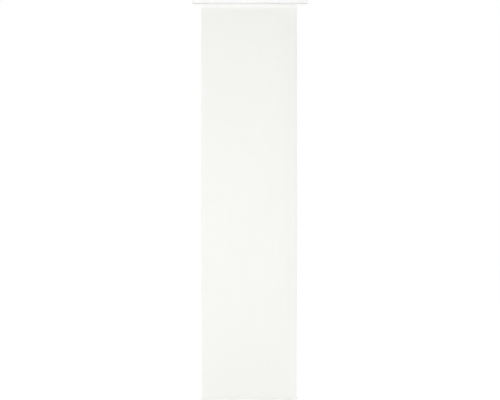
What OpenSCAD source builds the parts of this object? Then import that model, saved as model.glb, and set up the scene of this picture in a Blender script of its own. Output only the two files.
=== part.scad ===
// Panel curtain: a flat fabric panel on a rolling carrier in a two-run ceiling track.
// Sizes are in millimetres. +X runs along the track, the room is on -Y and +Z is up.
// The origin lies on the ceiling face, midway between the two fixing holes.

/* [Fabric panel] */
// Finished width of the cloth
panel_w = 592; // [420:1:1200]
// Length of the cloth from its top edge to the fold at the bottom
panel_drop = 2450; // [1500:1:3000]
// Thickness of the cloth
cloth_t = 0.5; // [0.3:0.05:0.9]
// Height over which the bottom pocket closes above the weight bar
pocket_close = 10; // [6:0.5:20]
// Height of the sewn strip that shuts the pocket
seam_h = 5; // [3:0.5:10]
// Where the middle of the panel stands, from the middle of the track
park_x = -5; // [-25:1:25]

/* [Curl of the cloth] */
// How far the right edge curls back
curl_right = 8; // [0:0.5:15]
// How far the left edge curls back
curl_left = 2; // [0:0.5:15]
// Width of the band that curls along each side
curl_w = 130; // [60:5:200]
// How far the middle bellies towards the room
belly = 3; // [0:0.5:10]
// Height over which the curl grows below the carrier
curl_grow = 60; // [30:5:300]
// Height over which the curl dies out above the bottom pocket
curl_fade = 700; // [200:10:900]

/* [Track] */
// How far the capped track reaches past a centred panel on each side
track_past = 62; // [50:1:300]
// Width inside each run
run_w = 12.4; // [11.4:0.1:16]
// Height inside each run
run_h = 10; // [9:0.1:14]
// Width of the slot under each run
slot_w = 6; // [5:0.1:7]
// Thickness of the lips that carry the wheels
lip_t = 1.8; // [1.2:0.1:3]
// Thickness of the upright walls
wall_t = 1.5; // [1.2:0.1:3]
// Thickness of the web against the ceiling
web_t = 1.5; // [1:0.1:3]
// Height of the hollow chamber above each run
chamber_h = 4.5; // [3:0.1:8]
// Thickness of the shelf between a chamber and its run
shelf_t = 1.2; // [1:0.1:3]
// Width of the groove between the runs, for the heads of the fixing screws
groove_w = 9.2; // [7:0.1:14]
// Radius of the rounded lower edges
track_edge_r = 1; // [0.3:0.1:1.2]
// Diameter of the ceiling fixing holes
fix_hole_d = 4.5; // [3:0.1:6]
// Distance of the fixing holes from the ends of the extrusion
fix_inset = 56; // [30:1:120]

/* [Track end caps and end stops] */
// Thickness of an end cap
track_cap_t = 2; // [1:0.1:4]
// Length of the plugs that hold an end cap in the chambers
track_plug_l = 10; // [5:0.5:20]
// Clearance around a plug
plug_clear = 0.1; // [0.05:0.05:0.3]
// Length of an end stop
stop_l = 10; // [8:0.5:16]
// Distance of an end stop from the end of the extrusion
stop_inset = 6; // [2:0.5:20]
// Clearance at each side of an end stop
stop_clear = 0.2; // [0.1:0.05:0.4]
// Room above an end stop
stop_headroom = 0.8; // [0.4:0.1:2]
// Diameter of the clamping screw in an end stop
stop_screw_d = 3; // [2.5:0.1:4]
// Diameter of the six-sided socket in the clamping screw, across its corners
stop_socket_d = 1.7; // [1.2:0.1:2]
// Depth of that socket
stop_socket_h = 1.6; // [0.8:0.1:3]
// How far the clamping screw stays above the underside of the track
stop_screw_up = 0.5; // [0.2:0.1:2]

/* [Gliders] */
// Length of a glider along the track
glider_l = 14; // [12:0.5:20]
// Distance of the outer gliders from the ends of the carrier
glider_inset = 25; // [15:1:60]
// Room above a wheel
wheel_headroom = 1.6; // [0.8:0.1:2.5]
// Room at each side of a wheel
wheel_side = 0.4; // [0.2:0.05:0.7]
// Running gap between a wheel and its lip
wheel_lift = 0.15; // [0.05:0.05:0.3]
// Diameter of a wheel's hub
hub_d = 3.8; // [3.2:0.1:4.4]
// Depth of the recess in each face of a wheel
wheel_recess = 0.5; // [0.2:0.1:0.8]
// Width of a wheel's rim beside that recess
rim_w = 0.9; // [0.6:0.1:1.2]
// Diameter of the steel axle
axle_d = 2; // [1.6:0.1:2.4]
// Clearance between the axle and its bore in the glider
axle_clear = 0.05; // [0.02:0.01:0.1]
// How far the axle ends stay from the walls of the run
axle_end = 0.4; // [0.2:0.1:0.8]
// Material around the axle bore
head_wall = 2.2; // [1.2:0.1:2.6]
// Running gap between a glider's boss and its wheel
boss_clear = 0.2; // [0.1:0.05:0.4]
// Room at each side of a glider's neck in the slot
neck_clear = 0.8; // [0.4:0.1:1.2]
// How far the collar reaches past the slot on each side
collar_past = 1.5; // [0.5:0.1:2.5]
// Gap between the collar and the track
collar_clear = 0.5; // [0.3:0.1:1]
// Clearance of a glider's neck and foot in the carrier
foot_clear = 0.2; // [0.1:0.05:0.4]
// Radius of the rounded ends of the collar and the foot
foot_r = 1.5; // [0.5:0.1:2]

/* [Panel carrier] */
// Gap between the track and the carrier
carrier_gap = 2.5; // [2:0.1:5]
// Wall of the carrier
carrier_t = 1.3; // [1:0.1:2]
// Width inside the carrier's channel
channel_w = 8.4; // [7.6:0.1:12]
// Height inside the carrier's channel
channel_h = 3.2; // [2.4:0.1:5]
// Depth of the flange that stiffens the lower edge
flange_d = 4.5; // [2.5:0.1:8]
// Thickness of the caps on the carrier's ends
carrier_cap_t = 1; // [0.6:0.1:2]
// Length of the plugs on those caps
carrier_plug_l = 6; // [3:0.5:10]

/* [Hook and loop tapes] */
// Height of both tapes
tape_h = 23; // [12:0.5:30]
// Edge of the carrier left free above and below the tape
tape_margin = 1; // [0:0.1:4]
// Thickness of the hook tape on the carrier
hook_t = 1.1; // [0.6:0.1:2]
// Thickness of the loop tape on the cloth
loop_t = 0.9; // [0.6:0.1:2]

/* [Weight bar] */
// Height of the flat bar
bar_h = 20; // [14:0.5:30]
// Thickness of the flat bar
bar_t = 4; // [2.5:0.1:6]
// How far the bar reaches out of the pocket on each side
bar_past = 3.5; // [2:0.1:8]
// Clearance between the bar and its pocket
bar_clear = 0.3; // [0.2:0.05:0.6]
// Wall of the caps on the bar's ends
bar_cap_wall = 1.2; // [0.8:0.1:2]
// Clearance of the bar in its caps
bar_cap_clear = 0.05; // [0.02:0.01:0.2]
// Gap between a bar cap and the edge of the cloth
bar_cap_gap = 0.3; // [0.2:0.1:1]

/* [Hidden] */
$fn = 64;
// Extra length of a cut past the face it opens
cut = 1;
glider_count = 4;

// The track's section, from the ceiling down and from its middle to the back
track_h = web_t + chamber_h + shelf_t + run_h + lip_t;
track_d = groove_w + 2 * run_w + 4 * wall_t;
run_y = (groove_w + run_w) / 2 + wall_t;
run_top = -web_t - chamber_h - shelf_t;
lip_top = -track_h + lip_t;
lip_w = (run_w - slot_w) / 2;
track_l = panel_w + 2 * track_past - 2 * track_cap_t;
fix_pitch = track_l - 2 * fix_inset;

// The wheels on their lips
wheel_r = (run_h - wheel_headroom - wheel_lift) / 2;
wheel_w = lip_w - 2 * wheel_side;
wheel_y = (slot_w + lip_w) / 2;
axle_z = lip_top + wheel_lift + wheel_r;
axle_l = run_w - 2 * axle_end;
wheel_chamfer = 0.3;

// The glider between the slot and the carrier
neck_t = slot_w - 2 * neck_clear;
head_r = axle_d / 2 + head_wall;
boss_l = slot_w + 2 * wheel_side - 2 * boss_clear;
collar_w = slot_w + 2 * collar_past;

// The carrier below the back run
carrier_l = panel_w - 2 * carrier_cap_t;
carrier_h = tape_h + 2 * tape_margin;
carrier_top = -track_h - carrier_gap;
carrier_low = carrier_top - carrier_h;
carrier_front = run_y - channel_w / 2 - carrier_t;
channel_d = channel_w + 2 * carrier_t;
channel_top = carrier_top - carrier_t;
mouth_w = neck_t + 2 * foot_clear;

// The cloth in front of the tapes
cloth_back = carrier_front - hook_t - loop_t;
cloth_front = cloth_back - cloth_t;
panel_low = carrier_top - panel_drop;

// The pocket around the weight bar, with the middle of the round fold at fold_y and fold_z
fold_r = bar_t / 2 + bar_clear;
fold_y = cloth_back + fold_r;
fold_z = panel_low + cloth_t + fold_r;
bar_l = panel_w + 2 * bar_past;
pocket_top = fold_z + bar_h - bar_t + fold_r;
seam_low = pocket_top + pocket_close;
seam_top = seam_low + seam_h;

function glider_name(i) = str("glider_", i);
function axle_name(i) = str("axle_", i);
function wheel_name(i, side) = str("wheel_", i, side < 0 ? "_front" : "_back");
function side_name(part, side) = str(part, side < 0 ? "_left" : "_right");
function glider_x(i) = park_x + (carrier_l - 2 * glider_inset) * ((i - 1) / (glider_count - 1) - 0.5);

SIDES = [-1, 1];
GLIDERS = [1 : glider_count];

// Extrudes a section drawn in Y and Z along X, centred
module along_x(length) {
    rotate([90, 0, 90])
        linear_extrude(length, center = true)
            children();
}

// Extrudes a side view drawn in X and Z along Y, centred
module along_y(length) {
    rotate([90, 0, 0])
        linear_extrude(length, center = true)
            children();
}

// Rectangle from a low corner
module patch(y, z, w, h) {
    translate([y, z])
        square([w, h]);
}

// Rectangle with rounded corners, centred
module round_rect(w, h, r) {
    square([w, h - 2 * r], center = true);
    square([w - 2 * r, h], center = true);
    for (i = SIDES, j = SIDES)
        translate([i * (w / 2 - r), j * (h / 2 - r)])
            circle(r);
}

// Flat oval that stands on end, centred on its lower arc
module upright_oval(h, t) {
    patch(-t / 2, 0, t, h - t);
    for (z = [0, h - t])
        translate([0, z])
            circle(t / 2);
}

// Outline of the track, with its two lower edges rounded
module track_outline() {
    patch(-track_d / 2, track_edge_r - track_h, track_d, track_h - track_edge_r);
    patch(track_edge_r - track_d / 2, -track_h, track_d - 2 * track_edge_r, track_edge_r);
    for (s = SIDES)
        translate([s * (track_d / 2 - track_edge_r), track_edge_r - track_h])
            circle(track_edge_r);
}

// Section of the track: two runs below hollow chambers, and the open screw groove between them
module track_section() {
    difference() {
        track_outline();
        patch(-groove_w / 2, -track_h - cut, groove_w, track_h - web_t + cut);
        for (s = SIDES)
            translate([s * run_y, 0]) {
                patch(-run_w / 2, -web_t - chamber_h, run_w, chamber_h);
                patch(-run_w / 2, lip_top, run_w, run_h);
                patch(-slot_w / 2, -track_h - cut, slot_w, lip_t + 2 * cut);
            }
    }
}

module track() {
    color("#fbfbfa")
        difference() {
            along_x(track_l)
                track_section();
            for (s = SIDES)
                translate([s * fix_pitch / 2, 0, -web_t - cut])
                    cylinder(d = fix_hole_d, h = web_t + 2 * cut);
        }
}

// End cap of the track: a plate of the track's outline with a plug in each chamber
module track_cap(side) {
    color("#f6f6f4")
        translate([side * track_l / 2, 0, 0]) {
            translate([side * track_cap_t / 2, 0, 0])
                along_x(track_cap_t)
                    track_outline();
            for (s = SIDES)
                translate([-side * track_plug_l / 2, s * run_y, -web_t - chamber_h / 2])
                    cube([track_plug_l, run_w - 2 * plug_clear, chamber_h - 2 * plug_clear], center = true);
        }
}

// Clamping block that stands on the lips of the back run and fills its slot
module end_stop(side) {
    block_w = run_w - 2 * stop_clear;
    tongue_w = slot_w - 2 * stop_clear;
    color("#efefec")
        translate([side * (track_l / 2 - stop_inset - stop_l / 2), run_y, 0])
            difference() {
                along_x(stop_l) {
                    patch(-block_w / 2, lip_top, block_w, run_h - stop_headroom);
                    patch(-tongue_w / 2, -track_h, tongue_w, lip_t + cut);
                }
                translate([0, 0, -track_h - cut])
                    cylinder(d = stop_screw_d, h = track_h + cut);
            }
}

// Grub screw that jacks an end stop against the shelf above it
module stop_screw(side) {
    screw_low = -track_h + stop_screw_up;
    color("#b9bbbd")
        translate([side * (track_l / 2 - stop_inset - stop_l / 2), run_y, 0])
            difference() {
                translate([0, 0, screw_low])
                    cylinder(d = stop_screw_d, h = run_top - screw_low);
                translate([0, 0, screw_low - cut])
                    cylinder(d = stop_socket_d, h = stop_socket_h + cut, $fn = 6);
            }
}

// Section of the carrier: an upright front, a channel for the glider feet and a stiffening flange
module carrier_section() {
    patch(carrier_front, carrier_low, carrier_t, carrier_h);
    patch(carrier_front, carrier_low, flange_d, carrier_t);
    difference() {
        patch(carrier_front, channel_top - channel_h - carrier_t, channel_d, channel_h + 2 * carrier_t);
        patch(carrier_front + carrier_t, channel_top - channel_h, channel_w, channel_h);
        patch(run_y - mouth_w / 2, channel_top - cut, mouth_w, carrier_t + 2 * cut);
    }
}

module panel_carrier() {
    color("#f8f8f6")
        translate([park_x, 0, 0])
            along_x(carrier_l)
                carrier_section();
}

// Cap on an end of the carrier, with a plug in the channel
module carrier_cap(side) {
    color("#f6f6f4")
        translate([park_x + side * carrier_l / 2, 0, 0]) {
            translate([side * carrier_cap_t / 2, 0, 0])
                along_x(carrier_cap_t)
                    patch(carrier_front, carrier_low, channel_d, carrier_h);
            translate([-side * carrier_plug_l / 2, run_y, channel_top - channel_h / 2])
                cube([carrier_plug_l, channel_w - 2 * plug_clear, channel_h - 2 * plug_clear], center = true);
        }
}

// Side view of a glider's plate: a round head on a block that bumps against the end stops
module glider_plate() {
    block_h = axle_z - carrier_top;
    translate([0, axle_z])
        circle(head_r);
    translate([0, carrier_top + block_h / 2])
        square([glider_l, block_h], center = true);
}

module glider(i) {
    collar_h = carrier_gap - collar_clear;
    foot_w = channel_w - 2 * foot_clear;
    foot_h = channel_h - 2 * foot_clear;
    color("#f4f4f1")
        translate([glider_x(i), run_y, 0])
            difference() {
                union() {
                    along_y(neck_t)
                        glider_plate();
                    translate([0, 0, axle_z])
                        along_y(boss_l)
                            circle(d = hub_d);
                    translate([0, 0, carrier_top])
                        linear_extrude(collar_h)
                            round_rect(glider_l, collar_w, foot_r);
                    translate([0, 0, channel_top - cut])
                        linear_extrude(carrier_t + 2 * cut)
                            square([glider_l, neck_t], center = true);
                    translate([0, 0, channel_top - foot_h])
                        linear_extrude(foot_h)
                            round_rect(glider_l, foot_w, foot_r);
                }
                translate([0, 0, axle_z])
                    along_y(run_w)
                        circle(d = axle_d + 2 * axle_clear);
            }
}

module axle(i) {
    color("#c3c5c7")
        translate([glider_x(i), run_y, axle_z])
            along_y(axle_l)
                circle(d = axle_d);
}

// Half section of a wheel, as radius and width: hub, recessed web and chamfered rim
module wheel_section() {
    half = wheel_w / 2;
    web = half - wheel_recess;
    rim_r = wheel_r - rim_w;
    tread = half - wheel_chamfer;
    right = [
        [axle_d / 2, half], [hub_d / 2, half], [hub_d / 2, web], [rim_r, web],
        [rim_r, half], [wheel_r - wheel_chamfer, half], [wheel_r, tread]
    ];
    left = [for (k = [len(right) - 1 : -1 : 0]) [right[k][0], -right[k][1]]];
    polygon(concat(right, left));
}

module wheel(i, side) {
    color("#e9e9e6")
        translate([glider_x(i), run_y + side * wheel_y, axle_z])
            rotate([90, 0, 0])
                rotate_extrude()
                    wheel_section();
}

// Strip of tape on the front of the carrier
module tape_strip(front, thick) {
    translate([park_x - carrier_l / 2, front, carrier_top - tape_margin - tape_h])
        cube([carrier_l, thick, tape_h]);
}

module hook_tape() {
    color("#f7f7f5")
        tape_strip(carrier_front - hook_t, hook_t);
}

module loop_tape() {
    color("#f3f3f0")
        tape_strip(cloth_back, loop_t);
}

// Smooth step from 0 to 1
function ease(t) = let (u = min(1, max(0, t))) u * u * (3 - 2 * u);

// Share of the full curl at a height: none at the carrier and none at the pocket
function curl_share(z) = ease((carrier_low - z) / curl_grow) * ease((z - seam_top) / curl_fade);

// How far the cloth stands back at a place on the panel
function curl_band(d) = pow(max(0, 1 - d / curl_w), 2);
function cloth_bow(x, z) = curl_share(z) * (
    curl_right * curl_band(panel_w / 2 - x)
    + curl_left * curl_band(panel_w / 2 + x)
    - belly * cos(180 * x / panel_w)
);

// Steps from one value towards another, without the last
function steps(a, b, n) = [for (k = [0 : n - 1]) a + (b - a) * k / n];

// The cloth is one sheet in stations along X. In each section its front line runs down from the
// top, round the fold and up to the seam, and its back line follows it one cloth thickness behind.
module fabric_panel() {
    half = panel_w / 2;
    stations = concat(
        steps(-half, curl_w - half, 4),
        steps(curl_w - half, half - curl_w, 6),
        steps(half - curl_w, half, 6),
        [half]
    );
    rows = concat(
        [carrier_top],
        steps(carrier_low, carrier_low - curl_grow, 3),
        steps(carrier_low - curl_grow, seam_top + curl_fade, 5),
        steps(seam_top + curl_fade, seam_top, 7),
        [seam_top]
    );
    turn = [180 : 30 : 360];
    front = concat(
        [for (z = concat(rows, [seam_low])) [cloth_front, z]],
        [for (a = turn) [fold_y + (fold_r + cloth_t) * cos(a), fold_z + (fold_r + cloth_t) * sin(a)]],
        [[fold_y + fold_r + cloth_t, pocket_top]]
    );
    back = concat(
        [for (z = concat(rows, [seam_low])) [cloth_back, z]],
        [for (a = turn) [fold_y + fold_r * cos(a), fold_z + fold_r * sin(a)]],
        [[fold_y + fold_r, pocket_top]]
    );
    n = len(front);
    seam = len(rows) - 1;
    last = len(stations) - 1;
    points = [
        for (x = stations, p = concat(front, back)) [park_x + x, p[0] + cloth_bow(x, p[1]), p[1]]
    ];
    // The skin goes down the front line, joins the back line at the seam and returns to the top
    skin = concat([for (k = [0 : n - 1]) k], [for (k = [seam : -1 : 0]) n + k]);
    tunnel = [for (k = [n - 1 : -1 : seam + 1]) n + k];
    walls = [
        for (ring = [skin, tunnel], i = [0 : last - 1], j = [0 : len(ring) - 1])
            let (
                a = 2 * n * i + ring[j],
                b = 2 * n * i + ring[(j + 1) % len(ring)],
                c = b + 2 * n,
                d = a + 2 * n
            )
            each [[a, d, c], [a, c, b]]
    ];
    // Each end is a strip between the two lines, shut at the seam
    strip = concat(
        [for (k = [0 : n - 2]) [k, k + 1, n + k + 1, n + k]],
        [[n - 1, n + seam, n + seam + 1, 2 * n - 1]]
    );
    ends = [
        for (q = strip)
            let (e = [for (v = q) v + 2 * n * last])
            each [[q[0], q[1], q[2]], [q[0], q[2], q[3]], [e[2], e[1], e[0]], [e[3], e[2], e[0]]]
    ];
    color("#f3f2ee")
        polyhedron(points, concat(walls, ends), convexity = 6);
}

module weight_bar() {
    color("#d9dadb")
        translate([park_x, fold_y, fold_z])
            along_x(bar_l)
                upright_oval(bar_h, bar_t);
}

// Cap on an end of the weight bar, just outside the cloth
module bar_cap(side) {
    socket_l = bar_past - bar_cap_gap;
    cap_l = socket_l + bar_cap_wall;
    inner = panel_w / 2 + bar_cap_gap;
    grow = 2 * (bar_cap_wall + bar_cap_clear);
    color("#f6f6f4")
        translate([park_x, fold_y, fold_z])
            difference() {
                translate([side * (inner + cap_l / 2), 0, 0])
                    along_x(cap_l)
                        upright_oval(bar_h + grow, bar_t + grow);
                translate([side * (inner + (socket_l - cut) / 2), 0, 0])
                    along_x(socket_l + cut)
                        upright_oval(bar_h + 2 * bar_cap_clear, bar_t + 2 * bar_cap_clear);
            }
}

track();
panel_carrier();
hook_tape();
loop_tape();
fabric_panel();
weight_bar();
for (s = SIDES) {
    track_cap(s);
    end_stop(s);
    stop_screw(s);
    carrier_cap(s);
    bar_cap(s);
}
for (i = GLIDERS) {
    glider(i);
    axle(i);
    for (s = SIDES)
        wheel(i, s);
}
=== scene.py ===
"""Looks of a panel curtain: a flat cloth on a rolling carrier in a two-run ceiling track.

Sizes are in metres, in the frame of the solids: +X along the track, the room on -Y, +Z up.
"""

import math

import bpy
from bpy.props import FloatProperty, FloatVectorProperty, IntProperty, PointerProperty
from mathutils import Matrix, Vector


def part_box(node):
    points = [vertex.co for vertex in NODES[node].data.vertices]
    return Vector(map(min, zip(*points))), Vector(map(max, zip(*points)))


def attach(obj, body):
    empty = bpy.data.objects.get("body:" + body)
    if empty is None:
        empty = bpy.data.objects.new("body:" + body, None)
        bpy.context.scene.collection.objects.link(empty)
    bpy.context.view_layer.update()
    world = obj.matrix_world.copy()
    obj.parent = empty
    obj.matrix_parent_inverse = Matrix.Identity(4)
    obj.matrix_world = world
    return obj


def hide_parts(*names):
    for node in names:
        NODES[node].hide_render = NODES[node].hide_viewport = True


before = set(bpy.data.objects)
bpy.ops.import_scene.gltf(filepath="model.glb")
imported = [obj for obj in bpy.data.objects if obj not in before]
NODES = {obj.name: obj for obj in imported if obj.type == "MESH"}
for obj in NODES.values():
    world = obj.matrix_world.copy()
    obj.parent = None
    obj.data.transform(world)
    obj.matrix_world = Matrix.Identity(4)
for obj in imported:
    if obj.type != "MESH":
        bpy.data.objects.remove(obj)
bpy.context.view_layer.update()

bl_info = {
    "name": "Panel curtain",
    "version": (1, 0, 0),
    "blender": (4, 5, 0),
    "location": "3D View > Sidebar > Curtain",
    "description": "Dresses the solids of a panel curtain with its cloth, stitches and finishes",
    "category": "Object",
}

CLOTH_LOW, CLOTH_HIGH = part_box("fabric_panel")
TRACK_LOW, TRACK_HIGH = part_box("track")
CARRIER_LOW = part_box("panel_carrier")[0]
TAPE_LOW, TAPE_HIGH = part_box("loop_tape")
BAR_LOW, BAR_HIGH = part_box("weight_bar")
WHEEL_LOW, WHEEL_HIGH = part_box("wheel_1_front")
PANEL_X = (CLOTH_LOW.x + CLOTH_HIGH.x) / 2
PANEL_HALF = (CLOTH_HIGH.x - CLOTH_LOW.x) / 2
WHEEL_X = (WHEEL_LOW.x + WHEEL_HIGH.x) / 2
WHEEL_Z = (WHEEL_LOW.z + WHEEL_HIGH.z) / 2
WHEEL_R = (WHEEL_HIGH.z - WHEEL_LOW.z) / 2
GLIDER_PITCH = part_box("glider_2")[0].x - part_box("glider_1")[0].x


# Settings


def linear(code):
    """Linear RGBA of an sRGB hex colour."""
    parts = [int(code[k : k + 2], 16) / 255 for k in (1, 3, 5)]
    return [c / 12.92 if c <= 0.04045 else ((c + 0.055) / 1.055) ** 2.4 for c in parts] + [1.0]


def length(name, description, default):
    return FloatProperty(
        name=name, description=description, default=default, precision=5, unit="LENGTH", subtype="DISTANCE"
    )


def colour(name, description, code):
    return FloatVectorProperty(
        name=name, description=description, default=linear(code), size=4, min=0, max=1, subtype="COLOR"
    )


def position(name, description, default):
    return FloatVectorProperty(
        name=name, description=description, default=default, size=3, unit="LENGTH", subtype="TRANSLATION"
    )


def angle(name, description, default):
    return FloatProperty(
        name=name, description=description, default=default, unit="ROTATION", subtype="ANGLE"
    )


def share(name, description, default):
    return FloatProperty(
        name=name, description=description, default=default, min=0, max=1, subtype="FACTOR"
    )


class ClothSettings(bpy.types.PropertyGroup):
    thickness: length("Thickness", "Thickness of the cloth", 0.0005)
    hem_width: length("Hem width", "Width of the cloth turned back along each side", 0.012)
    turn_radius: length("Turn radius", "Radius of a sharp fold, at the middle of the cloth", 0.0003)
    curl_right: length("Curl right", "How far the right edge curls back", 0.008)
    curl_left: length("Curl left", "How far the left edge curls back", 0.002)
    curl_width: length("Curl width", "Width of the band that curls along each side", 0.130)
    belly: length("Belly", "How far the middle bellies towards the room", 0.003)
    curl_grow: length("Curl growth", "Height over which the curl grows below the carrier", 0.060)
    curl_fade: length("Curl fade", "Height over which the curl dies out above the pocket", 0.700)
    ripple_height: length("Ripple height", "Height of the soft upright ripples", 0.0003)
    ripple_width: length("Ripple width", "Width of the widest ripple", 0.110)
    pocket_close: length("Pocket close", "Height over which the pocket closes above the bar", 0.010)
    seam_height: length("Seam height", "Height of the sewn strip that shuts the pocket", 0.005)
    thread_spacing: length("Thread spacing", "Distance between two threads of the weave, as drawn", 0.0008)
    passed_single: share("Light into single cloth", "Share of light that a face of the cloth lets in", 0.12)
    passed_backed: share("Light into backed cloth", "The same where the tape and the carrier back it", 0.04)
    single: colour("Single cloth", "Colour of one layer of the cloth", "#fcfcfa")
    # Painted light: the backed colour is lighter, standing in for the light that the tape, the carrier or a
    # second layer sends back through the cloth
    backed: colour("Backed cloth", "Colour where the tape and the carrier back the cloth", "#fefefc")
    hem_backing: share("Backing in a hem", "How much a second layer of cloth backs the first", 0.4)


class StitchSettings(bpy.types.PropertyGroup):
    pitch: length("Pitch", "Distance from one stitch to the next", 0.004)
    stitch: length("Stitch", "Length of the thread that shows in one stitch", 0.0032)
    thread: length("Thread", "Diameter of the sewing thread", 0.0003)
    inset: length("Inset", "Distance of a seam from the edge that it holds down", 0.0018)
    turn: angle("Turn", "Most that a stitch is turned", 0.06)
    seed: IntProperty(name="Seed", description="Seed for the small turns of the stitches", default=7)
    dye: colour("Thread colour", "Colour of the sewing thread", "#f7f6f3")


class FinishSettings(bpy.types.PropertyGroup):
    edge: length("Edge radius", "Radius of the softened edges on metal and mouldings", 0.00025)
    coat: colour("Coating", "Powder coat of the track and the carrier", "#fbfbfb")
    # How much darker the coat is painted inside the slots, as painted shade
    painted_slot_shade: share("Painted slot shade", "Brightness of the coat inside the slots, against the rest", 0.9)
    plastic: colour("Plastic", "Mouldings: caps, stops and gliders", "#f6f6f4")
    wheel: colour("Wheels", "Plastic of the wheels", "#eceae5")
    steel: colour("Steel", "Plated axles and screws", "#c9cdd0")
    bar: colour("Bar", "Bare aluminium of the weight bar", "#d9dadb")
    hook: colour("Hook tape", "Colour of the hook tape", "#f5f5f3")
    loop: colour("Loop tape", "Colour of the loop tape", "#f7f7f4")


class StageSettings(bpy.types.PropertyGroup):
    distance: length("Camera distance", "Distance of the camera from the cloth", 6.0)
    view_width: length("View width", "Width of the view at the cloth", 3.0945)
    camera_x: length("Camera place", "Sideways place of the camera", 0.0005)
    camera_z: length("Camera height", "Height of the camera below the ceiling", -1.2337)
    floor_gap: length("Floor gap", "Gap between the cloth and the floor", 0.028)
    floor_half: length("Floor size", "Half the width of the floor", 12.0)
    paper: colour("Paper", "Colour of the paper on the floor", "#d0d0ce")
    lift_near: share("Lift near", "Light that the camera sees added to the floor near the object", 0.61)
    lift_far: share("Lift far", "The same far from the object", 0.81)
    lift_from: length("Lift from", "Distance from the object at which the lift starts to grow", 2.0)
    lift_to: length("Lift to", "Distance from the object at which the lift is full", 4.2)
    ambient: FloatProperty(name="Ambient", description="Light from all round", default=0.285, min=0)
    key: FloatProperty(name="Key", description="Lamp at the front left", default=189, unit="POWER")
    fill: FloatProperty(name="Fill", description="Lamp at the front right", default=155, unit="POWER")
    back: FloatProperty(name="Back", description="Lamp behind the panel", default=36, unit="POWER")
    top: FloatProperty(name="Top", description="Lamp above the track", default=30, unit="POWER")
    key_place: position("Key place", "Place of the key, from the panel's middle", (-3.5, -5.7, -0.45))
    fill_place: position("Fill place", "Place of the fill, from there", (2.6, -6.1, -0.45))
    back_place: position("Back place", "Place of the back lamp, from there", (0.6, 4.8, 2.2))
    top_place: position("Top place", "Place of the top lamp, from there", (0.0, 1.0, 3.4))
    front_size: length("Front lamp size", "Width of the two lamps at the front", 1.45)
    back_size: length("Back lamp size", "Width of the lamp behind the panel", 2.2)
    top_size: length("Top lamp size", "Width of the lamp above the track", 1.6)
    front_drop: length("Front aim", "How far below the panel's middle the front lamps aim", 0.3)
    back_drop: length("Back aim", "How far below the panel's middle the back lamp aims", 0.6)
    back_spread: angle("Back spread", "Angle of the back lamp's beam", math.radians(80))


class CurtainSettings(bpy.types.PropertyGroup):
    cloth: PointerProperty(type=ClothSettings, name="Cloth", description="The hanging panel")
    sewing: PointerProperty(type=StitchSettings, name="Sewing", description="The stitches")
    finish: PointerProperty(type=FinishSettings, name="Finishes", description="Colours of the hardware")
    stage: PointerProperty(type=StageSettings, name="Stage", description="Floor, light and camera")


# Helpers for nodes, meshes and objects


def add(tree, kind, inputs=None, **settings):
    """Adds a node with its settings. inputs gives a socket, by name or number, a value or a link."""
    node = tree.nodes.new(kind)
    node.location.x = 180 * len(tree.nodes)
    for name, value in settings.items():
        setattr(node, name, value)
    for socket, value in (inputs or {}).items():
        if isinstance(value, bpy.types.NodeSocket):
            tree.links.new(value, node.inputs[socket])
        else:
            node.inputs[socket].default_value = value
    return node


def new_material(name, **constants):
    """A material with its shader, whose constant sockets are set by name, and its Object coordinates."""
    material = bpy.data.materials.new(name)
    material.use_nodes = True
    tree = material.node_tree
    shader = tree.nodes["Principled BSDF"]
    for socket, value in constants.items():
        shader.inputs[socket.replace("_", " ")].default_value = value
    return material, tree, shader, add(tree, "ShaderNodeTexCoord").outputs["Object"]


def link_inputs(tree, shader, **sources):
    for socket, source in sources.items():
        tree.links.new(source, shader.inputs[socket.replace("_", " ")])


def show(name, mesh, material=None):
    """Puts a mesh in the scene as an object at the origin."""
    obj = bpy.data.objects.new(name, mesh)
    bpy.context.scene.collection.objects.link(obj)
    if material:
        mesh.materials.append(material)
    return obj


def settle(obj):
    """Turns an object with modifiers into its finished plain mesh."""
    evaluated = obj.evaluated_get(bpy.context.evaluated_depsgraph_get())
    mesh = bpy.data.meshes.new_from_object(evaluated)
    obj.modifiers.clear()
    old = obj.data
    obj.data = mesh
    bpy.data.meshes.remove(old)
    mesh.name = obj.name


def dress(names, material):
    """Gives CAD nodes a material."""
    for name in names:
        for slot in NODES[name].material_slots:
            slot.material = material


def soften(names, radius):
    """Rounds the sharp edges of CAD nodes as they are shown. The solids themselves stay as they are."""
    same_point, same_plane, sharp = 2e-6, math.radians(0.5), math.radians(35)
    for name in names:
        stack = NODES[name].modifiers
        weld = stack.new("Weld", "WELD")
        weld.merge_threshold = same_point
        flat = stack.new("Whole faces", "DECIMATE")
        flat.decimate_type = "DISSOLVE"
        flat.angle_limit = same_plane
        edge = stack.new("Soft edges", "BEVEL")
        edge.width = radius
        edge.segments = 2
        edge.limit_method = "ANGLE"
        edge.angle_limit = sharp


def nodes_named(*starts):
    return [name for name in NODES if name.startswith(starts)]


def spread(a, b, count):
    """Even steps from a towards b, without b."""
    return [a + (b - a) * k / count for k in range(count)]


# Materials


def finish_surface(tree, shader, pattern, dye, gloss, level, relief, strength, depth, invert=False):
    """Links colour, roughness and relief. gloss and level give the values at 0 and 1 of the pattern."""
    rough = add(tree, "ShaderNodeMapRange", {"Value": pattern, "To Min": gloss[0], "To Max": gloss[1]})
    value = add(tree, "ShaderNodeMapRange", {"Value": pattern, "To Min": level[0], "To Max": level[1]})
    tone = add(tree, "ShaderNodeHueSaturation", {"Color": dye, "Value": value.outputs[0]})
    bump = add(
        tree, "ShaderNodeBump", {"Strength": strength, "Distance": depth, "Height": relief}, invert=invert
    )
    link_inputs(
        tree, shader, Base_Color=tone.outputs[0], Roughness=rough.outputs[0], Normal=bump.outputs[0]
    )


# thin sets how dark the painted shade in the slots leaves the coat
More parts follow.
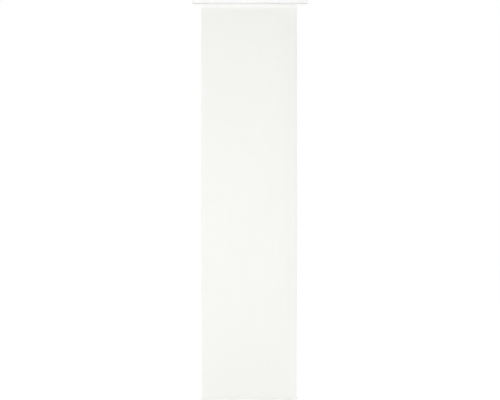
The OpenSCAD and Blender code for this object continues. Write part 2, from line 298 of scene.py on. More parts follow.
def powder_coat(dye, thin):
    """Powder-coated extruded aluminium."""
    # A satin white skin with a faint orange peel, about 2 mm from crest to crest, and soft clouds of gloss.
    # Inside the slots of the track the coat is painted greyer within 1 mm behind their edges, as painted
    # shade
    peel, cloud, edge, deep = 0.002, 0.06, 0.0003, 0.001
    material, tree, shader, place = new_material("Powder-coated extruded aluminium", IOR=1.5)
    skin = add(tree, "ShaderNodeTexNoise", {"Vector": place, "Scale": 1 / peel, "Detail": 1.0})
    clouds = add(tree, "ShaderNodeTexNoise", {"Vector": place, "Scale": 1 / cloud, "Detail": 2.0})
    centre, half = (TRACK_LOW + TRACK_HIGH) / 2, (TRACK_HIGH - TRACK_LOW) / 2
    offset = add(tree, "ShaderNodeVectorMath", {0: place, 1: centre}, operation="SUBTRACT")
    reach = add(tree, "ShaderNodeVectorMath", {0: offset.outputs[0]}, operation="ABSOLUTE")
    inward = add(tree, "ShaderNodeVectorMath", {0: half, 1: reach.outputs[0]}, operation="SUBTRACT")
    axes = add(tree, "ShaderNodeSeparateXYZ", {"Vector": inward.outputs[0]})
    depth = add(tree, "ShaderNodeMath", {0: axes.outputs["Y"], 1: axes.outputs["Z"]}, operation="MINIMUM")
    # Painted shade: the coat darkens from full brightness to thin within the slots
    slot_shading = add(
        tree,
        "ShaderNodeMapRange",
        {"Value": depth.outputs[0], "From Min": edge, "From Max": deep, "To Min": 1.0, "To Max": thin},
    )
    coat = add(tree, "ShaderNodeHueSaturation", {"Color": dye, "Value": slot_shading.outputs[0]})
    finish_surface(
        tree,
        shader,
        clouds.outputs["Fac"],
        coat.outputs[0],
        gloss=(0.28, 0.4),
        level=(0.985, 1.0),
        relief=skin.outputs["Fac"],
        strength=0.5,
        depth=6e-5,
    )
    return material


def moulded_plastic(dye):
    """Injection-moulded ABS."""
    # An even off-white with the fine spark-eroded grain of the mould, which dulls its shine. The grain is
    # about 0.1 mm on such mouldings and is drawn at 0.4 mm, because it would not show otherwise
    grain, flow = 0.0004, 0.02
    material, tree, shader, place = new_material("Injection-moulded ABS", IOR=1.53)
    pits = add(tree, "ShaderNodeTexNoise", {"Vector": place, "Scale": 1 / grain, "Detail": 2.0})
    clouds = add(tree, "ShaderNodeTexNoise", {"Vector": place, "Scale": 1 / flow, "Detail": 2.0})
    finish_surface(
        tree,
        shader,
        clouds.outputs["Fac"],
        dye,
        gloss=(0.42, 0.58),
        level=(0.975, 1.0),
        relief=pits.outputs["Fac"],
        strength=0.5,
        depth=5e-5,
    )
    return material


def moulded_acetal(dye):
    """Moulded acetal of the wheels."""
    # A waxy, slightly grey white with fine rings from the turned mould, and a tread that the lips polish
    ring, tread_from = 0.0005, 0.9 * WHEEL_R
    material, tree, shader, place = new_material("Moulded acetal", IOR=1.48)
    apart = add(tree, "ShaderNodeSeparateXYZ", {0: place})
    # Every wheel repeats at the pitch of the gliders, so the sideways place wraps at that pitch
    across = add(
        tree,
        "ShaderNodeMath",
        {0: apart.outputs["X"], 1: WHEEL_X + GLIDER_PITCH / 2, 2: WHEEL_X - GLIDER_PITCH / 2},
        operation="WRAP",
    )
    centred = add(tree, "ShaderNodeCombineXYZ", {"X": across.outputs[0], "Z": apart.outputs["Z"]})
    spoke = add(
        tree,
        "ShaderNodeVectorMath",
        {0: centred.outputs[0], 1: (WHEEL_X, 0.0, WHEEL_Z)},
        operation="DISTANCE",
    ).outputs["Value"]
    rings = add(tree, "ShaderNodeMath", {0: spoke, 1: 2 * math.pi / ring}, operation="MULTIPLY")
    wave = add(tree, "ShaderNodeMath", {0: rings.outputs[0]}, operation="SINE")
    tread = add(
        tree, "ShaderNodeMapRange", {"Value": spoke, "From Min": tread_from, "From Max": WHEEL_R}
    )
    finish_surface(
        tree,
        shader,
        tread.outputs[0],
        dye,
        gloss=(0.42, 0.26),
        level=(1.0, 0.93),
        relief=wave.outputs[0],
        strength=0.2,
        depth=1e-5,
    )
    return material


def plated_steel(dye):
    """Turned steel with a zinc plating."""
    # A cool grey metal with fine turning marks and a slightly uneven plating
    mark, cloud = 0.00015, 0.003
    material, tree, shader, place = new_material("Zinc-plated turned steel", Metallic=1.0)
    marks = add(tree, "ShaderNodeTexNoise", {"Vector": place, "Scale": 1 / mark, "Detail": 1.0})
    clouds = add(tree, "ShaderNodeTexNoise", {"Vector": place, "Scale": 1 / cloud, "Detail": 2.0})
    finish_surface(
        tree,
        shader,
        clouds.outputs["Fac"],
        dye,
        gloss=(0.24, 0.4),
        level=(0.9, 1.0),
        relief=marks.outputs["Fac"],
        strength=0.2,
        depth=1e-5,
    )
    return material


def mill_aluminium(dye):
    """Extruded aluminium left as it comes from the mill."""
    # A pale grey metal with long die lines, half a millimetre apart, along the extrusion, painted darker in
    # their grooves as shade
    line, run = 0.0005, 0.3
    material, tree, shader, place = new_material("Mill-finish extruded aluminium", Metallic=1.0)
    drawn = add(
        tree,
        "ShaderNodeVectorMath",
        {0: place, 1: (1 / run, 1 / line, 1 / line)},
        operation="MULTIPLY",
    )
    lines = add(tree, "ShaderNodeTexNoise", {"Vector": drawn.outputs[0], "Scale": 1.0, "Detail": 2.0})
    finish_surface(
        tree,
        shader,
        lines.outputs["Fac"],
        dye,
        gloss=(0.28, 0.48),
        level=(0.9, 1.0),
        relief=lines.outputs["Fac"],
        strength=0.3,
        depth=1e-5,
    )
    return material


def hook_tape(dye):
    """Woven nylon tape with moulded hooks."""
    # Rows of small hooks, 1.5 mm apart, that glint on a rougher ground, which is painted darker between
    # them as shade
    pitch = 0.0015
    material, tree, shader, place = new_material("Woven nylon hook tape", IOR=1.53)
    hooks = add(
        tree,
        "ShaderNodeTexVoronoi",
        {"Vector": place, "Scale": 1 / pitch, "Randomness": 0.3},
        feature="F1",
    ).outputs["Distance"]
    finish_surface(
        tree,
        shader,
        hooks,
        dye,
        gloss=(0.35, 0.75),
        level=(1.0, 0.9),
        relief=hooks,
        strength=0.6,
        depth=3e-4,
        invert=True,
    )
    return material


def loop_tape(dye):
    """Brushed nylon loop tape."""
    # A matt, fuzzy nap of loops under 1 mm across, painted a little darker in its hollows, as shade
    nap = 0.0008
    material, tree, shader, place = new_material(
        "Brushed nylon loop tape", IOR=1.53, Sheen_Weight=0.3, Sheen_Roughness=0.5
    )
    loops = add(
        tree, "ShaderNodeTexNoise", {"Vector": place, "Scale": 1 / nap, "Detail": 3.0, "Distortion": 1.0}
    ).outputs["Fac"]
    finish_surface(
        tree,
        shader,
        loops,
        dye,
        gloss=(0.95, 0.75),
        level=(0.93, 1.02),
        relief=loops,
        strength=0.6,
        depth=2e-4,
    )
    return material


def sewing_thread(dye):
    """Twisted polyester thread."""
    # A fine, slightly shiny thread whose plies run round it every half millimetre, painted darker in the
    # grooves between them as shade
    twist = 0.0005
    material, tree, shader, place = new_material("Twisted polyester thread", IOR=1.55, Sheen_Weight=0.2)
    plies = add(
        tree,
        "ShaderNodeTexWave",
        {"Vector": place, "Scale": 1 / twist / (2 * math.pi), "Distortion": 0.5},
        bands_direction="DIAGONAL",
    ).outputs["Fac"]
    finish_surface(
        tree,
        shader,
        plies,
        dye,
        gloss=(0.75, 0.5),
        level=(0.9, 1.0),
        relief=plies,
        strength=0.5,
        depth=5e-5,
    )
    return material


def woven_cloth(cloth):
    """Plain-woven white polyester, thin enough to let some light through."""
    # A matt, warm white with a fine grid of threads and faint slubs. The threads lie about 0.4 mm apart in
    # such cloth and are drawn twice as coarse, because they would not show otherwise
    slub_width, slub_run, weave_share, relief = 0.004, 0.18, 0.4, 8e-5
    material, tree, shader, _ = new_material(
        "Plain-woven polyester", IOR=1.5, Sheen_Weight=0.15, Sheen_Roughness=0.4, Specular_IOR_Level=0.25
    )
    # The cloth's own measure: across and along the threads, so the weave follows every fold
    thread = add(tree, "ShaderNodeAttribute", attribute_name="thread").outputs["Vector"]
    turns = math.pi / cloth.thread_spacing
    phase = add(tree, "ShaderNodeVectorMath", {0: thread, 1: (turns, turns, 0.0)}, operation="MULTIPLY")
    wave = add(tree, "ShaderNodeVectorMath", {0: phase.outputs[0]}, operation="SINE")
    round_threads = add(tree, "ShaderNodeVectorMath", {0: wave.outputs[0]}, operation="ABSOLUTE")
    warp_weft = add(tree, "ShaderNodeSeparateXYZ", {0: round_threads.outputs[0]})
    warp, weft = warp_weft.outputs["X"], warp_weft.outputs["Y"]
    over_under = add(
        tree,
        "ShaderNodeTexChecker",
        {"Vector": thread, "Scale": 1 / cloth.thread_spacing},
    )
    on_top = add(
        tree, "ShaderNodeMix", {0: over_under.outputs["Fac"], 2: warp, 3: weft}, data_type="FLOAT"
    )
    crowns = add(tree, "ShaderNodeMath", {0: warp, 1: weft}, operation="MULTIPLY")
    weave = add(tree, "ShaderNodeMath", {0: on_top.outputs[0], 1: crowns.outputs[0]}, operation="ADD")
    slubs = []
    for across, along in ((slub_width, slub_run), (slub_run, slub_width)):
        stretched = add(
            tree, "ShaderNodeVectorMath", {0: thread, 1: (1 / across, 1 / along, 0.0)}, operation="MULTIPLY"
        )
        slubs.append(add(tree, "ShaderNodeTexNoise", {"Vector": stretched.outputs[0], "Scale": 1.0}))
    slub = add(
        tree, "ShaderNodeMath", {0: slubs[0].outputs["Fac"], 1: slubs[1].outputs["Fac"]}, operation="ADD"
    )
    # Slubs and, more strongly, the shaded gaps between the threads vary the tone
    depth = add(
        tree,
        "ShaderNodeMath",
        {0: weave.outputs[0], 1: weave_share, 2: slub.outputs[0]},
        operation="MULTIPLY_ADD",
    )
    level = add(
        tree,
        "ShaderNodeMapRange",
        {"Value": depth.outputs[0], "From Min": 0.7, "From Max": 2.0, "To Min": 0.965, "To Max": 1.012},
    )
    # Painted light: where something backs the cloth its colour is mixed lighter, for the light sent back
    # through it
    backing = add(tree, "ShaderNodeAttribute", attribute_name="backing")
    dye = add(
        tree,
        "ShaderNodeMix",
        {0: backing.outputs["Fac"], 6: cloth.single, 7: cloth.backed},
        data_type="RGBA",
    )
    tone = add(tree, "ShaderNodeHueSaturation", {"Color": dye.outputs[2], "Value": level.outputs[0]})
    gloss = add(tree, "ShaderNodeMapRange", {"Value": weave.outputs[0], "To Min": 0.95, "To Max": 0.8})
    bump = add(tree, "ShaderNodeBump", {"Strength": 0.5, "Distance": relief, "Height": weave.outputs[0]})
    link_inputs(
        tree, shader, Base_Color=tone.outputs[0], Roughness=gloss.outputs[0], Normal=bump.outputs[0]
    )
    glow = add(
        tree, "ShaderNodeBsdfTranslucent", {"Color": tone.outputs[0], "Normal": bump.outputs[0]}
    )
    passed = add(
        tree,
        "ShaderNodeMapRange",
        {"Value": backing.outputs["Fac"], "To Min": cloth.passed_single, "To Max": cloth.passed_backed},
    )
    both = add(
        tree, "ShaderNodeMixShader", {0: passed.outputs[0], 1: shader.outputs[0], 2: glow.outputs[0]}
    )
    link_inputs(tree, tree.nodes["Material Output"], Surface=both.outputs[0])
    return material


def floor_paper(stage):
    """Seamless white paper."""
    # A matt, pale sheet with a soft mottle. Seen from the camera it is lifted to white, more so far from
    # the object, where less light reaches it, and it still takes the object's shadow
    mottle = 0.15
    material, tree, shader, place = new_material("Seamless white paper", IOR=1.4, Specular_IOR_Level=0.1)
    clouds = add(tree, "ShaderNodeTexNoise", {"Vector": place, "Scale": 1 / mottle, "Detail": 3.0})
    mottles = clouds.outputs["Fac"]
    level = add(tree, "ShaderNodeMapRange", {"Value": mottles, "To Min": 0.99, "To Max": 1.0})
    tone = add(tree, "ShaderNodeHueSaturation", {"Color": stage.paper, "Value": level.outputs[0]})
    rough = add(tree, "ShaderNodeMapRange", {"Value": mottles, "To Min": 0.85, "To Max": 0.95})
    link_inputs(tree, shader, Base_Color=tone.outputs[0], Roughness=rough.outputs[0])
    ground = add(tree, "ShaderNodeVectorMath", {0: place, 1: (1.0, 1.0, 0.0)}, operation="MULTIPLY")
    away = add(tree, "ShaderNodeVectorMath", {0: ground.outputs[0]}, operation="LENGTH")
    lift = add(
        tree,
        "ShaderNodeMapRange",
        {
            "Value": away.outputs["Value"],
            "From Min": stage.lift_from,
            "From Max": stage.lift_to,
            "To Min": stage.lift_near,
            "To Max": stage.lift_far,
        },
        interpolation_type="SMOOTHSTEP",
    )
    seen = add(tree, "ShaderNodeMath", {0: white_rays(tree), 1: lift.outputs[0]}, operation="MULTIPLY")
    glow = add(tree, "ShaderNodeEmission", {"Color": (1, 1, 1, 1), "Strength": seen.outputs[0]})
    both = add(tree, "ShaderNodeAddShader", {0: shader.outputs[0], 1: glow.outputs[0]})
    link_inputs(tree, tree.nodes["Material Output"], Surface=both.outputs[0])
    return material


def white_rays(tree):
    """1 for rays that see the white backdrop: the camera's, and mirror and glass rays, not soft ones."""
    path = add(tree, "ShaderNodeLightPath").outputs
    total = path["Is Camera Ray"]
    for ray in ("Is Glossy Ray", "Is Transmission Ray"):
        total = add(tree, "ShaderNodeMath", {0: total, 1: path[ray]}, operation="ADD").outputs[0]
    return add(
        tree,
        "ShaderNodeMath",
        {0: total, 1: path["Is Diffuse Ray"]},
        operation="SUBTRACT",
        use_clamp=True,
    ).outputs[0]


# Shape of the cloth


def ease(t):
    """Smooth step from 0 to 1."""
    u = min(1.0, max(0.0, t))
    return u * u * (3 - 2 * u)


class ClothLines:
    """The lines that the tape, the carrier and the bar give the cloth, at the middle of its thickness."""

    # Steps of the mesh: down the free cloth, across it, round the bar, up the closing pocket, down a short
    # stretch, round a sharp fold, over a narrow strip and along the back of a hem
    DOWN, ACROSS, ROUND, CLOSING, SHORT, TURN, STRIP, HEM = 190, 70, 12, 8, 4, 4, 2, 3
    # Lean of each ripple, in radians a metre, and how much narrower each is than the one before it
    LEANS, NARROWER = (0.9, -1.6, 2.3), 0.29
    # Distance from the front to the turned-under edge at the seam, in thicknesses of the cloth
    LAYER = 1.1

    def __init__(self, cloth):
        self.cloth = cloth
        self.mid = TAPE_LOW.y - cloth.thickness / 2
        bar_half = (BAR_HIGH.y - BAR_LOW.y) / 2
        self.fold_y = (BAR_LOW.y + BAR_HIGH.y) / 2
        self.fold_r = self.fold_y - self.mid
        self.fold_z = BAR_LOW.z + bar_half
        self.pocket_top = BAR_HIGH.z - bar_half + self.fold_y - TAPE_LOW.y
        self.seam_low = self.pocket_top + cloth.pocket_close
        self.seam_top = self.seam_low + cloth.seam_height
        # Layers at the seam: the front, the turned-under edge and the pocket's back
        self.turned_y = self.mid + self.LAYER * cloth.thickness
        self.seam_y = self.turned_y + 2 * cloth.turn_radius
        self.hem_top = CARRIER_LOW.z - 2 * cloth.thickness
        self.hem_low = self.seam_top + 2 * cloth.thickness
        self.edge_x = PANEL_HALF - cloth.turn_radius - cloth.thickness / 2
        self.hem_x = PANEL_HALF - cloth.hem_width
        self.hem_y = self.mid + 2 * cloth.turn_radius

    def bow(self, x, z):
        """How far the cloth stands back from its flat place, at x from the panel's middle."""
        c = self.cloth
        free = ease((CARRIER_LOW.z - z) / c.curl_grow) * ease((z - self.seam_top) / c.curl_fade)
        right = max(0.0, 1 - (PANEL_HALF - x) / c.curl_width) ** 2
        left = max(0.0, 1 - (PANEL_HALF + x) / c.curl_width) ** 2
        middle = math.cos(math.pi * x / (2 * PANEL_HALF))
        return free * (c.curl_right * right + c.curl_left * left - c.belly * middle + self.ripple(x, z))

    def ripple(self, x, z):
        """Soft upright ripples of three widths, which lean a little as they come down."""
        total = 0.0
        for k, lean in enumerate(self.LEANS):
            width = self.cloth.ripple_width * (1 - self.NARROWER * k)
            total += math.sin(2 * math.pi * x / width + lean * z + k) / (1 + k)
        return self.cloth.ripple_height * total

    def heights(self):
        """Heights of the free cloth, from below the carrier to above the seam."""
        return spread(self.hem_top, self.hem_low, self.DOWN) + [self.hem_low]

    def rows(self):
        """Points (y, z) from the top edge, round the bar and up to the turned-under edge at the seam."""
        r = self.cloth.turn_radius
        step = self.cloth.thickness
        front = spread(CLOTH_HIGH.z, TAPE_LOW.z, self.SHORT) + [TAPE_LOW.z, TAPE_LOW.z - step]
        front += self.heights()
        front += [self.seam_top, self.seam_low] + spread(self.seam_low - step, self.fold_z, self.SHORT)
        rows = [(self.mid, z) for z in front]
        for a in spread(math.pi, 2 * math.pi, self.ROUND):
            rows.append((self.fold_y + self.fold_r * math.cos(a), self.fold_z + self.fold_r * math.sin(a)))
        back = self.fold_y + self.fold_r
        rows += [(back, z) for z in spread(self.fold_z, self.pocket_top, self.SHORT)]
        for t in spread(0.0, 1.0, self.CLOSING):
            y = back + (self.seam_y - back) * ease(t)
            rows.append((y, self.pocket_top + (self.seam_low - self.pocket_top) * t))
        rows += [(self.seam_y, z) for z in spread(self.seam_low, self.seam_top - r, self.STRIP)]
        for a in spread(0.0, math.pi, self.TURN):
            rows.append((self.turned_y + r + r * math.cos(a), self.seam_top - r + r * math.sin(a)))
        rows += [(self.turned_y, z) for z in (self.seam_top - r, self.seam_low)]
        return rows

    def columns(self):
        """Places across the front, from the left fold to the right one."""
        step = self.cloth.thickness
        inner = self.hem_x - step
        left = spread(-self.edge_x, -self.hem_x, self.STRIP) + [-self.hem_x]
        right = [-x for x in reversed(left)]
        return left + spread(-inner, inner, self.ACROSS) + [inner] + right

    def hem(self):
        """Points (x, y) of the right hem, from just past the front edge round to its free edge."""
        r = self.cloth.turn_radius
        arc = spread(-math.pi / 2, math.pi / 2, self.TURN)[1:]
        points = [(self.edge_x + r * math.cos(a), self.mid + r + r * math.sin(a)) for a in arc]
        return points + [(x, self.hem_y) for x in spread(self.edge_x, self.hem_x, self.HEM) + [self.hem_x]]

    def backing(self, x, z):
        """How much lies behind the cloth: all at the tape, some in the hems and at the seam."""
        tiny = 1e-6
        if z > TAPE_LOW.z - tiny:
            return 1.0
        hemmed = abs(x) > self.hem_x - tiny and z < self.hem_top + tiny
        sewn = self.seam_low - tiny < z < self.seam_top + tiny
        return self.cloth.hem_backing if hemmed or sewn else 0.0


def path_lengths(points):
    """Distance along a line at each of its points."""
    total = [0.0]
    for a, b in zip(points, points[1:]):
        total.append(total[-1] + math.dist(a, b))
    return total


def cloth_mesh(lines):
    """The cloth as a thin sheet, with its hems turned back, before it gets its thickness."""
    rows, columns, hem = lines.rows(), lines.columns(), lines.hem()
    along = path_lengths(rows)
    turned = path_lengths([(lines.edge_x, lines.mid)] + hem)[1:]
    points, threads, layers, faces = [], [], [], []

    def place(x, y, z, across, down):
        points.append((PANEL_X + x, y + lines.bow(x, z), z))
        threads.append((across, down, 0.0))
        layers.append(lines.backing(x, z))
        return len(points) - 1

    front = [[place(x, y, z, x, along[k]) for x in columns] for k, (y, z) in enumerate(rows)]
    heights = [z for _, z in rows]
    first, last = heights.index(lines.hem_top), heights.index(lines.hem_low)
    strips = [front]
    for side in (-1, 1):
        strip = []
        for k in range(first, last + 1):
            edge = front[k][-1 if side > 0 else 0]
            turn = [
                place(side * x, y, heights[k], side * (lines.edge_x + far), along[k])
                for (x, y), far in zip(hem, turned)
            ]
            strip.append([edge] + turn if side > 0 else turn[::-1] + [edge])
        strips.append(strip)
    for strip in strips:
        for upper, lower in zip(strip, strip[1:]):
            for k in range(len(upper) - 1):
                faces.append((upper[k], lower[k], lower[k + 1], upper[k + 1]))
    mesh = bpy.data.meshes.new("panel_cloth")
    mesh.from_pydata(points, [], faces)
    thread = mesh.attributes.new("thread", "FLOAT_VECTOR", "POINT")
    thread.data.foreach_set("vector", [value for point in threads for value in point])
    mesh.attributes.new("backing", "FLOAT", "POINT").data.foreach_set("value", layers)
    return mesh


# Stitches


def stitch_tree(material, turn):
    """Nodes that lay stitches along a seam: arched threads, one at every pitch, each turned a little."""
    steps = 5
    tree = bpy.data.node_groups.new("Stitches along a seam", "GeometryNodeTree")
    sockets = (
        ("Seam", "Geometry"),
        ("Pitch", "Float"),
        ("Stitch", "Float"),
        ("Thread", "Float"),
        ("Outward", "Vector"),
        ("Seed", "Int"),
    )
    for name, kind in sockets:
        tree.interface.new_socket(name, in_out="INPUT", socket_type="NodeSocket" + kind)
    tree.interface.new_socket("Stitches", in_out="OUTPUT", socket_type="NodeSocketGeometry")
    given = add(tree, "NodeGroupInput").outputs
    seam = add(tree, "GeometryNodeMeshToCurve", {"Mesh": given["Seam"]})
    spots = add(
        tree,
        "GeometryNodeCurveToPoints",
        {"Curve": seam.outputs[0], "Length": given["Pitch"]},
        mode="LENGTH",
    )
    half = add(tree, "ShaderNodeMath", {0: given["Stitch"], 1: 0.5}, operation="MULTIPLY")
    minus = add(tree, "ShaderNodeMath", {0: given["Stitch"], 1: -0.5}, operation="MULTIPLY")
    sunk = add(tree, "ShaderNodeMath", {0: given["Thread"], 1: -0.5}, operation="MULTIPLY")
    start = add(tree, "ShaderNodeCombineXYZ", {"X": minus.outputs[0], "Z": sunk.outputs[0]})
    crown = add(tree, "ShaderNodeCombineXYZ", {"Z": given["Thread"]})
    end = add(tree, "ShaderNodeCombineXYZ", {"X": half.outputs[0], "Z": sunk.outputs[0]})
    arch = add(
        tree,
        "GeometryNodeCurveQuadraticBezier",
        {"Resolution": steps, "Start": start.outputs[0], "Middle": crown.outputs[0], "End": end.outputs[0]},
    )
    radius = add(tree, "ShaderNodeMath", {0: given["Thread"], 1: 0.5}, operation="MULTIPLY")
    ring = add(tree, "GeometryNodeCurvePrimitiveCircle", {"Resolution": steps, "Radius": radius.outputs[0]})
    stitch = add(
        tree,
        "GeometryNodeCurveToMesh",
        {"Curve": arch.outputs[0], "Profile Curve": ring.outputs[0], "Fill Caps": True},
    )
    along = add(tree, "FunctionNodeAlignRotationToVector", {"Vector": spots.outputs["Tangent"]}, axis="X")
    facing = add(
        tree,
        "FunctionNodeAlignRotationToVector",
        {"Rotation": along.outputs[0], "Vector": given["Outward"]},
        axis="Z",
        pivot_axis="X",
    )
    chance = add(
        tree, "FunctionNodeRandomValue", {2: -turn, 3: turn, "Seed": given["Seed"]}, data_type="FLOAT"
    )
    yaw = add(tree, "FunctionNodeAxisAngleToRotation", {"Axis": (0, 0, 1), "Angle": chance.outputs[1]})
    turned = add(
        tree,
        "FunctionNodeRotateRotation",
        {"Rotation": facing.outputs[0], "Rotate By": yaw.outputs[0]},
        rotation_space="LOCAL",
    )
    sewn = add(
        tree,
        "GeometryNodeInstanceOnPoints",
        {
            "Points": spots.outputs["Points"],
            "Instance": stitch.outputs[0],
            "Rotation": turned.outputs[0],
        },
    )
    real = add(tree, "GeometryNodeRealizeInstances", {"Geometry": sewn.outputs[0]})
    dressed = add(tree, "GeometryNodeSetMaterial", {"Geometry": real.outputs[0], "Material": material})
    add(tree, "NodeGroupOutput", {"Stitches": dressed.outputs[0]})
    return tree


def seam_mesh(name, seams):
    """A mesh of open lines, one for each seam."""
    points, edges = [], []
    for seam in seams:
        start = len(points)
        points += seam
        edges += [(start + k, start + k + 1) for k in range(len(seam) - 1)]
    mesh = bpy.data.meshes.new(name)
    mesh.from_pydata(points, edges, [])
    return mesh


def sew(name, seams, outward, tree, sewing):
    """Lays stitches along seams and keeps them as a plain mesh that moves with the panel."""
    obj = show(name, seam_mesh(name, seams))
    nodes = obj.modifiers.new("Stitches", "NODES")
    nodes.node_group = tree
    values = {
        "Pitch": sewing.pitch,
        "Stitch": sewing.stitch,
        "Thread": sewing.thread,
        "Outward": outward,
        "Seed": sewing.seed,
    }
    for item in tree.interface.items_tree:
        if item.in_out == "INPUT" and item.name in values:
            nodes[item.identifier] = values[item.name]
    settle(obj)
    obj.data.polygons.foreach_set("use_smooth", [True] * len(obj.data.polygons))
    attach(obj, "panel")
    return obj


# Operators


class CURTAIN_OT_track(bpy.types.Operator):
    """Gives the track and the carrier their powder coat."""

    bl_idname = "curtain.track"
    bl_label = "Track and carrier"

    def execute(self, context):
        finish = context.scene.curtain.finish
        dress(["track", "panel_carrier"], powder_coat(finish.coat, finish.painted_slot_shade))
        soften(["track", "panel_carrier"], finish.edge)
        return {"FINISHED"}


class CURTAIN_OT_mouldings(bpy.types.Operator):
    """Gives the end caps, end stops and gliders their moulded plastic."""

    bl_idname = "curtain.mouldings"
    bl_label = "Caps, stops and gliders"

    def execute(self, context):
        names = nodes_named("track_cap", "carrier_cap", "bar_cap", "end_stop", "glider")
        finish = context.scene.curtain.finish
        dress(names, moulded_plastic(finish.plastic))
        soften(names, finish.edge)
        return {"FINISHED"}


class CURTAIN_OT_wheels(bpy.types.Operator):
    """Gives the wheels their acetal, and the axles and screws their plated steel."""

    bl_idname = "curtain.wheels"
    bl_label = "Wheels, axles and screws"

    def execute(self, context):
        finish = context.scene.curtain.finish
        dress(nodes_named("wheel"), moulded_acetal(finish.wheel))
        dress(nodes_named("axle", "stop_screw"), plated_steel(finish.steel))
        return {"FINISHED"}


class CURTAIN_OT_tapes(bpy.types.Operator):
    """Gives the two tapes their hooks and loops."""

    bl_idname = "curtain.tapes"
    bl_label = "Hook and loop tapes"

    def execute(self, context):
        finish = context.scene.curtain.finish
        dress(["hook_tape"], hook_tape(finish.hook))
        dress(["loop_tape"], loop_tape(finish.loop))
        return {"FINISHED"}


class CURTAIN_OT_weight_bar(bpy.types.Operator):
    """Gives the weight bar its bare aluminium."""

    bl_idname = "curtain.weight_bar"
    bl_label = "Weight bar"

    def execute(self, context):
        dress(["weight_bar"], mill_aluminium(context.scene.curtain.finish.bar))
        return {"FINISHED"}


class CURTAIN_OT_cloth(bpy.types.Operator):
    """Makes the cloth with its hems and its pocket, in place of its plain solid."""

    bl_idname = "curtain.cloth"
    bl_label = "Cloth"
    # Edges of the cloth that bend more than this show as creases
    SHARP = math.radians(50)

    def execute(self, context):
        cloth = context.scene.curtain.cloth
        lines = ClothLines(cloth)
        obj = show("panel_cloth", cloth_mesh(lines), woven_cloth(cloth))
        shell = obj.modifiers.new("Thickness", "SOLIDIFY")
        shell.thickness = cloth.thickness
        shell.offset = 0.0
        shell.use_even_offset = True
        settle(obj)
        obj.data.polygons.foreach_set("use_smooth", [True] * len(obj.data.polygons))
        obj.data.set_sharp_from_angle(angle=self.SHARP)
        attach(obj, "panel")
        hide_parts("fabric_panel")
        return {"FINISHED"}


class CURTAIN_OT_stitches(bpy.types.Operator):
    bl_idname = "curtain.stitches"
    bl_label = "Stitches"

    def execute(self, context):
        cloth, sewing = context.scene.curtain.cloth, context.scene.curtain.sewing
        lines = ClothLines(cloth)
        tree = stitch_tree(sewing_thread(sewing.dye), sewing.turn)
        face = cloth.thickness / 2
        front, back = lines.mid - face, lines.hem_y + face
        inset = sewing.inset
        sides = [s * (lines.hem_x + inset) for s in (-1, 1)]
        across = [-lines.edge_x + inset, lines.edge_x - inset]
        tape_rows = [TAPE_HIGH.z - inset, TAPE_LOW.z + inset]
        pocket_row = (lines.seam_low + lines.seam_top) / 2

        def hems(y):
            return [[(PANEL_X + x, y + lines.bow(x, z), z) for z in lines.heights()] for x in sides]

        def level(y, z):
            return [(PANEL_X + x, y, z) for x in across]

        room, wall = (0.0, -1.0, 0.0), (0.0, 1.0, 0.0)
        pieces = [
            sew("hem_stitches_front", hems(front), room, tree, sewing),
            sew("hem_stitches_back", hems(back), wall, tree, sewing),
            sew("tape_stitches", [level(front, z) for z in tape_rows], room, tree, sewing),
            sew("pocket_stitches_front", [level(front, pocket_row)], room, tree, sewing),
            sew("pocket_stitches_back", [level(lines.seam_y + face, pocket_row)], wall, tree, sewing),
        ]
        hem_length = path_lengths([(lines.edge_x, lines.mid)] + lines.hem())[-1]
        flat = (2 * (lines.edge_x + hem_length), path_lengths(lines.rows())[-1])
        return {"FINISHED"}


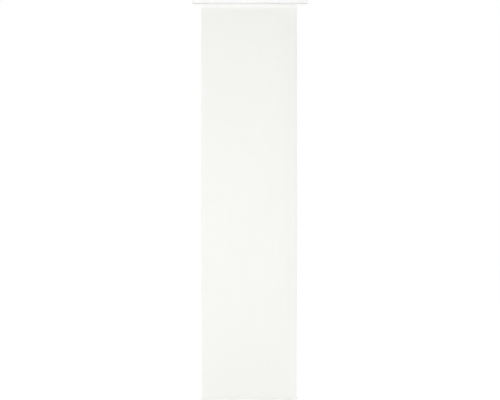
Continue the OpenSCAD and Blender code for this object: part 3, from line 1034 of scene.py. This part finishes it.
class CURTAIN_OT_stage(bpy.types.Operator):
    """Sets up the floor, the soft light, the white backdrop and the camera."""

    bl_idname = "curtain.stage"
    bl_label = "Stage"

    def execute(self, context):
        scene, stage = context.scene, context.scene.curtain.stage
        scene.view_settings.view_transform = "Standard"
        self.floor(stage)
        self.backdrop(scene, stage)
        middle = Vector((PANEL_X, TAPE_LOW.y, (CLOTH_LOW.z + CLOTH_HIGH.z) / 2))
        front_aim = middle - Vector((0, 0, stage.front_drop))
        back_aim = middle - Vector((0, 0, stage.back_drop))
        self.lamp("Key", middle + stage.key_place, front_aim, stage.front_size, stage.key)
        self.lamp("Fill", middle + stage.fill_place, front_aim, stage.front_size, stage.fill)
        # The back lamp's narrow beam lights the panel evenly and spills little light on the floor
        back_place = middle + stage.back_place
        self.lamp("Back", back_place, back_aim, stage.back_size, stage.back, stage.back_spread)
        self.lamp("Top", middle + stage.top_place, middle, stage.top_size, stage.top)
        self.camera(scene, stage)
        return {"FINISHED"}

    def floor(self, stage):
        half, z = stage.floor_half, CLOTH_LOW.z - stage.floor_gap
        corners = [(x * half, y * half, z) for x, y in ((-1, -1), (1, -1), (1, 1), (-1, 1))]
        mesh = bpy.data.meshes.new("floor")
        mesh.from_pydata(corners, [], [(0, 1, 2, 3)])
        show("floor", mesh, floor_paper(stage))

    def backdrop(self, scene, stage):
        world = bpy.data.worlds.new("White backdrop")
        scene.world = world
        world.use_nodes = True
        tree = world.node_tree
        strength = add(
            tree, "ShaderNodeMapRange", {"Value": white_rays(tree), "To Min": stage.ambient, "To Max": 1.0}
        )
        link_inputs(tree, tree.nodes["Background"], Strength=strength.outputs[0])
        tree.nodes["Background"].inputs["Color"].default_value = (1, 1, 1, 1)

    def lamp(self, name, place, target, size, power, beam=math.pi):
        lamp = bpy.data.lights.new(name, "AREA")
        lamp.size = size
        lamp.energy = power
        lamp.spread = beam
        obj = bpy.data.objects.new(name, lamp)
        obj.location = place
        obj.rotation_euler = (target - place).to_track_quat("-Z", "Y").to_euler()
        obj.visible_camera = False
        bpy.context.scene.collection.objects.link(obj)

    def camera(self, scene, stage):
        lens = bpy.data.cameras.new("Camera")
        lens.lens = lens.sensor_width * stage.distance / stage.view_width
        obj = bpy.data.objects.new("Camera", lens)
        obj.location = (stage.camera_x, TAPE_LOW.y - stage.distance, stage.camera_z)
        obj.rotation_euler = (math.pi / 2, 0.0, 0.0)
        scene.collection.objects.link(obj)
        scene.camera = obj


class CURTAIN_PT_sidebar(bpy.types.Panel):
    """Lists the steps that dress the curtain."""

    bl_idname = "CURTAIN_PT_sidebar"
    bl_label = "Panel curtain"
    bl_space_type = "VIEW_3D"
    bl_region_type = "UI"
    bl_category = "Curtain"

    def draw(self, context):
        for step in STEPS:
            self.layout.operator(step.bl_idname)


SETTINGS = (ClothSettings, StitchSettings, FinishSettings, StageSettings, CurtainSettings)
STEPS = (
    CURTAIN_OT_track,
    CURTAIN_OT_mouldings,
    CURTAIN_OT_wheels,
    CURTAIN_OT_tapes,
    CURTAIN_OT_weight_bar,
    CURTAIN_OT_cloth,
    CURTAIN_OT_stitches,
    CURTAIN_OT_stage,
)
CLASSES = SETTINGS + STEPS + (CURTAIN_PT_sidebar,)


def register():
    for kind in CLASSES:
        bpy.utils.register_class(kind)
    bpy.types.Scene.curtain = PointerProperty(
        type=CurtainSettings, name="Curtain", description="Panel curtain"
    )


def unregister():
    del bpy.types.Scene.curtain
    for kind in reversed(CLASSES):
        bpy.utils.unregister_class(kind)


def main():
    register()
    for step in STEPS:
        group, name = step.bl_idname.split(".")
        getattr(getattr(bpy.ops, group), name)()


if __name__ == "__main__":
    main()
